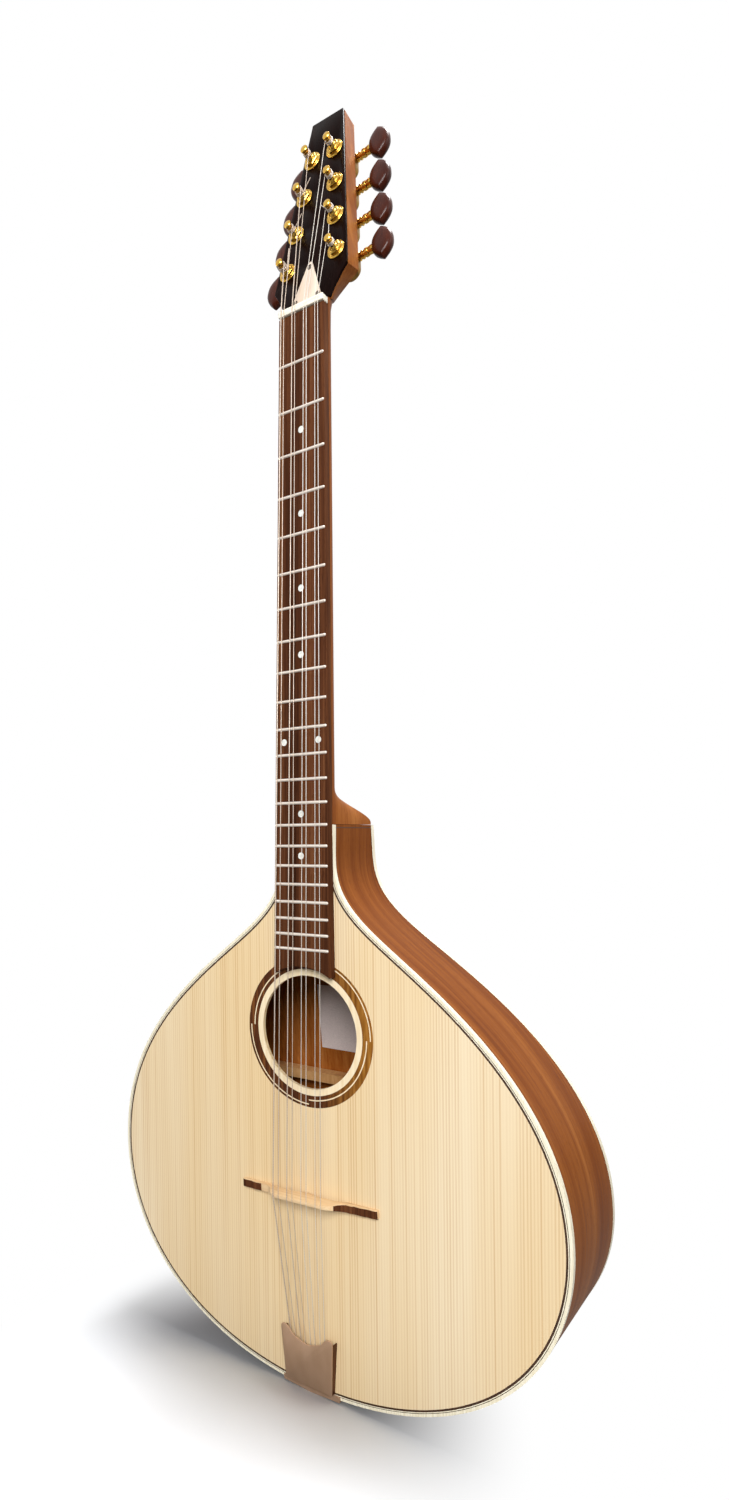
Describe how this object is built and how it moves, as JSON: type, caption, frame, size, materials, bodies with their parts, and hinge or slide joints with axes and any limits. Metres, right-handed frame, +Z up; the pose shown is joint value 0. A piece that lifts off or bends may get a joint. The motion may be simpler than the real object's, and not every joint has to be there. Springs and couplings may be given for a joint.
{
  "type": "flat-top lute",
  "caption": "Teardrop flat-topped lute with a deep wedge body, round sound hole, fretted neck, floating bridge and geared tuners.",
  "frame": {"origin": "bottom centre of the overall box, under the tailpiece bracket at the tail", "axes": "+Z up the neck from tail to headstock, the strings and the top face -Y, +X to the right seen from the front"},
  "size_m": [0.389, 0.1259, 0.9645],
  "materials": {
    "spruce_top": "satin clear lacquer over pale straight-grained wood",
    "mahogany_body": "gloss lacquer over reddish brown wood",
    "rosewood_trim": "oiled dark brown wood",
    "black_overlay": "gloss black lacquer",
    "maple_trim": "satin pale wood",
    "inner_wood": "bare pale wood",
    "cream_binding": "gloss cream",
    "bone_nut": "polished off-white",
    "bronze_tailpiece": "satin bronze brown metal",
    "gold_tuners": "polished gold plate",
    "button_wood": "polished dark red-brown",
    "string_steel": "wound and plain wire"
  },
  "bodies": {
    "lute": {"soundboard": "spruce_top", "back_plate": "mahogany_body", "rosette": "rosewood_trim", "side_right": "mahogany_body", "lining_front_right": "inner_wood", "lining_back_right": "inner_wood", "side_left": "mahogany_body", "lining_front_left": "inner_wood", "lining_back_left": "inner_wood", "binding_front": "cream_binding", "binding_back": "cream_binding", "neck_block": "inner_wood", "tail_block": "inner_wood", "brace_top_upper": "inner_wood", "brace_top_middle": "inner_wood", "brace_top_lower": "inner_wood", "brace_back_upper": "inner_wood", "brace_back_middle": "inner_wood", "brace_back_lower": "inner_wood", "neck": "mahogany_body", "truss_rod": "string_steel", "head_overlay": "black_overlay", "truss_cover": "maple_trim", "fingerboard": "rosewood_trim", "nut": "bone_nut", "bridge": "maple_trim", "tail_bracket": "bronze_tailpiece", "tail_cover": "bronze_tailpiece", "tuner_housing_left_1": "gold_tuners", "tuner_housing_left_2": "gold_tuners", "tuner_housing_left_3": "gold_tuners", "tuner_housing_left_4": "gold_tuners", "tuner_housing_right_1": "gold_tuners", "tuner_housing_right_2": "gold_tuners", "tuner_housing_right_3": "gold_tuners", "tuner_housing_right_4": "gold_tuners", "string_1": "string_steel", "string_2": "string_steel", "string_3": "string_steel", "string_4": "string_steel", "string_5": "string_steel", "string_6": "string_steel", "string_7": "string_steel", "string_8": "string_steel"},
    "button_left_1": {"tuner_button_left_1": "button_wood"},
    "post_left_1": {"tuner_post_left_1": "gold_tuners"},
    "button_left_2": {"tuner_button_left_2": "button_wood"},
    "post_left_2": {"tuner_post_left_2": "gold_tuners"},
    "button_left_3": {"tuner_button_left_3": "button_wood"},
    "post_left_3": {"tuner_post_left_3": "gold_tuners"},
    "button_left_4": {"tuner_button_left_4": "button_wood"},
    "post_left_4": {"tuner_post_left_4": "gold_tuners"},
    "button_right_1": {"tuner_button_right_1": "button_wood"},
    "post_right_1": {"tuner_post_right_1": "gold_tuners"},
    "button_right_2": {"tuner_button_right_2": "button_wood"},
    "post_right_2": {"tuner_post_right_2": "gold_tuners"},
    "button_right_3": {"tuner_button_right_3": "button_wood"},
    "post_right_3": {"tuner_post_right_3": "gold_tuners"},
    "button_right_4": {"tuner_button_right_4": "button_wood"},
    "post_right_4": {"tuner_post_right_4": "gold_tuners"}
  },
  "joints": [
    {"name": "button_turn_left_1", "type": "hinge", "parent": "lute", "child": "button_left_1", "pos_m": [-0.02084, -0.0091, 0.84399], "axis": [-0.9913, 0.0256, 0.1291], "continuous": true},
    {"name": "post_turn_left_1", "type": "hinge", "parent": "lute", "child": "post_left_1", "pos_m": [-0.0218, -0.03071, 0.84089], "axis": [0, -0.981, 0.1942], "continuous": true},
    {"name": "button_turn_left_2", "type": "hinge", "parent": "lute", "child": "button_left_2", "pos_m": [-0.01674, -0.0032, 0.87381], "axis": [-0.9913, 0.0256, 0.1291], "continuous": true},
    {"name": "post_turn_left_2", "type": "hinge", "parent": "lute", "child": "post_left_2", "pos_m": [-0.0177, -0.02481, 0.87071], "axis": [0, -0.981, 0.1942], "continuous": true},
    {"name": "button_turn_left_3", "type": "hinge", "parent": "lute", "child": "button_left_3", "pos_m": [-0.01284, 0.00271, 0.90363], "axis": [-0.9913, 0.0256, 0.1291], "continuous": true},
    {"name": "post_turn_left_3", "type": "hinge", "parent": "lute", "child": "post_left_3", "pos_m": [-0.0138, -0.01891, 0.90053], "axis": [0, -0.981, 0.1942], "continuous": true},
    {"name": "button_turn_left_4", "type": "hinge", "parent": "lute", "child": "button_left_4", "pos_m": [-0.00914, 0.00871, 0.93394], "axis": [-0.9913, 0.0256, 0.1291], "continuous": true},
    {"name": "post_turn_left_4", "type": "hinge", "parent": "lute", "child": "post_left_4", "pos_m": [-0.0101, -0.0129, 0.93084], "axis": [0, -0.981, 0.1942], "continuous": true},
    {"name": "button_turn_right_1", "type": "hinge", "parent": "lute", "child": "button_right_1", "pos_m": [0.02084, -0.0091, 0.84399], "axis": [0.9913, 0.0256, 0.1291], "continuous": true},
    {"name": "post_turn_right_1", "type": "hinge", "parent": "lute", "child": "post_right_1", "pos_m": [0.0218, -0.03071, 0.84089], "axis": [0, -0.981, 0.1942], "continuous": true},
    {"name": "button_turn_right_2", "type": "hinge", "parent": "lute", "child": "button_right_2", "pos_m": [0.01674, -0.0032, 0.87381], "axis": [0.9913, 0.0256, 0.1291], "continuous": true},
    {"name": "post_turn_right_2", "type": "hinge", "parent": "lute", "child": "post_right_2", "pos_m": [0.0177, -0.02481, 0.87071], "axis": [0, -0.981, 0.1942], "continuous": true},
    {"name": "button_turn_right_3", "type": "hinge", "parent": "lute", "child": "button_right_3", "pos_m": [0.01284, 0.00271, 0.90363], "axis": [0.9913, 0.0256, 0.1291], "continuous": true},
    {"name": "post_turn_right_3", "type": "hinge", "parent": "lute", "child": "post_right_3", "pos_m": [0.0138, -0.01891, 0.90053], "axis": [0, -0.981, 0.1942], "continuous": true},
    {"name": "button_turn_right_4", "type": "hinge", "parent": "lute", "child": "button_right_4", "pos_m": [0.00914, 0.00871, 0.93394], "axis": [0.9913, 0.0256, 0.1291], "continuous": true},
    {"name": "post_turn_right_4", "type": "hinge", "parent": "lute", "child": "post_right_4", "pos_m": [0.0101, -0.0129, 0.93084], "axis": [0, -0.981, 0.1942], "continuous": true}
  ],
  "couplings": [
    {"joint": "post_turn_left_1", "follows": "button_turn_left_1", "ratio": -0.071429},
    {"joint": "post_turn_left_2", "follows": "button_turn_left_2", "ratio": -0.071429},
    {"joint": "post_turn_left_3", "follows": "button_turn_left_3", "ratio": -0.071429},
    {"joint": "post_turn_left_4", "follows": "button_turn_left_4", "ratio": -0.071429},
    {"joint": "post_turn_right_1", "follows": "button_turn_right_1", "ratio": 0.071429},
    {"joint": "post_turn_right_2", "follows": "button_turn_right_2", "ratio": 0.071429},
    {"joint": "post_turn_right_3", "follows": "button_turn_right_3", "ratio": 0.071429},
    {"joint": "post_turn_right_4", "follows": "button_turn_right_4", "ratio": 0.071429}
  ]
}
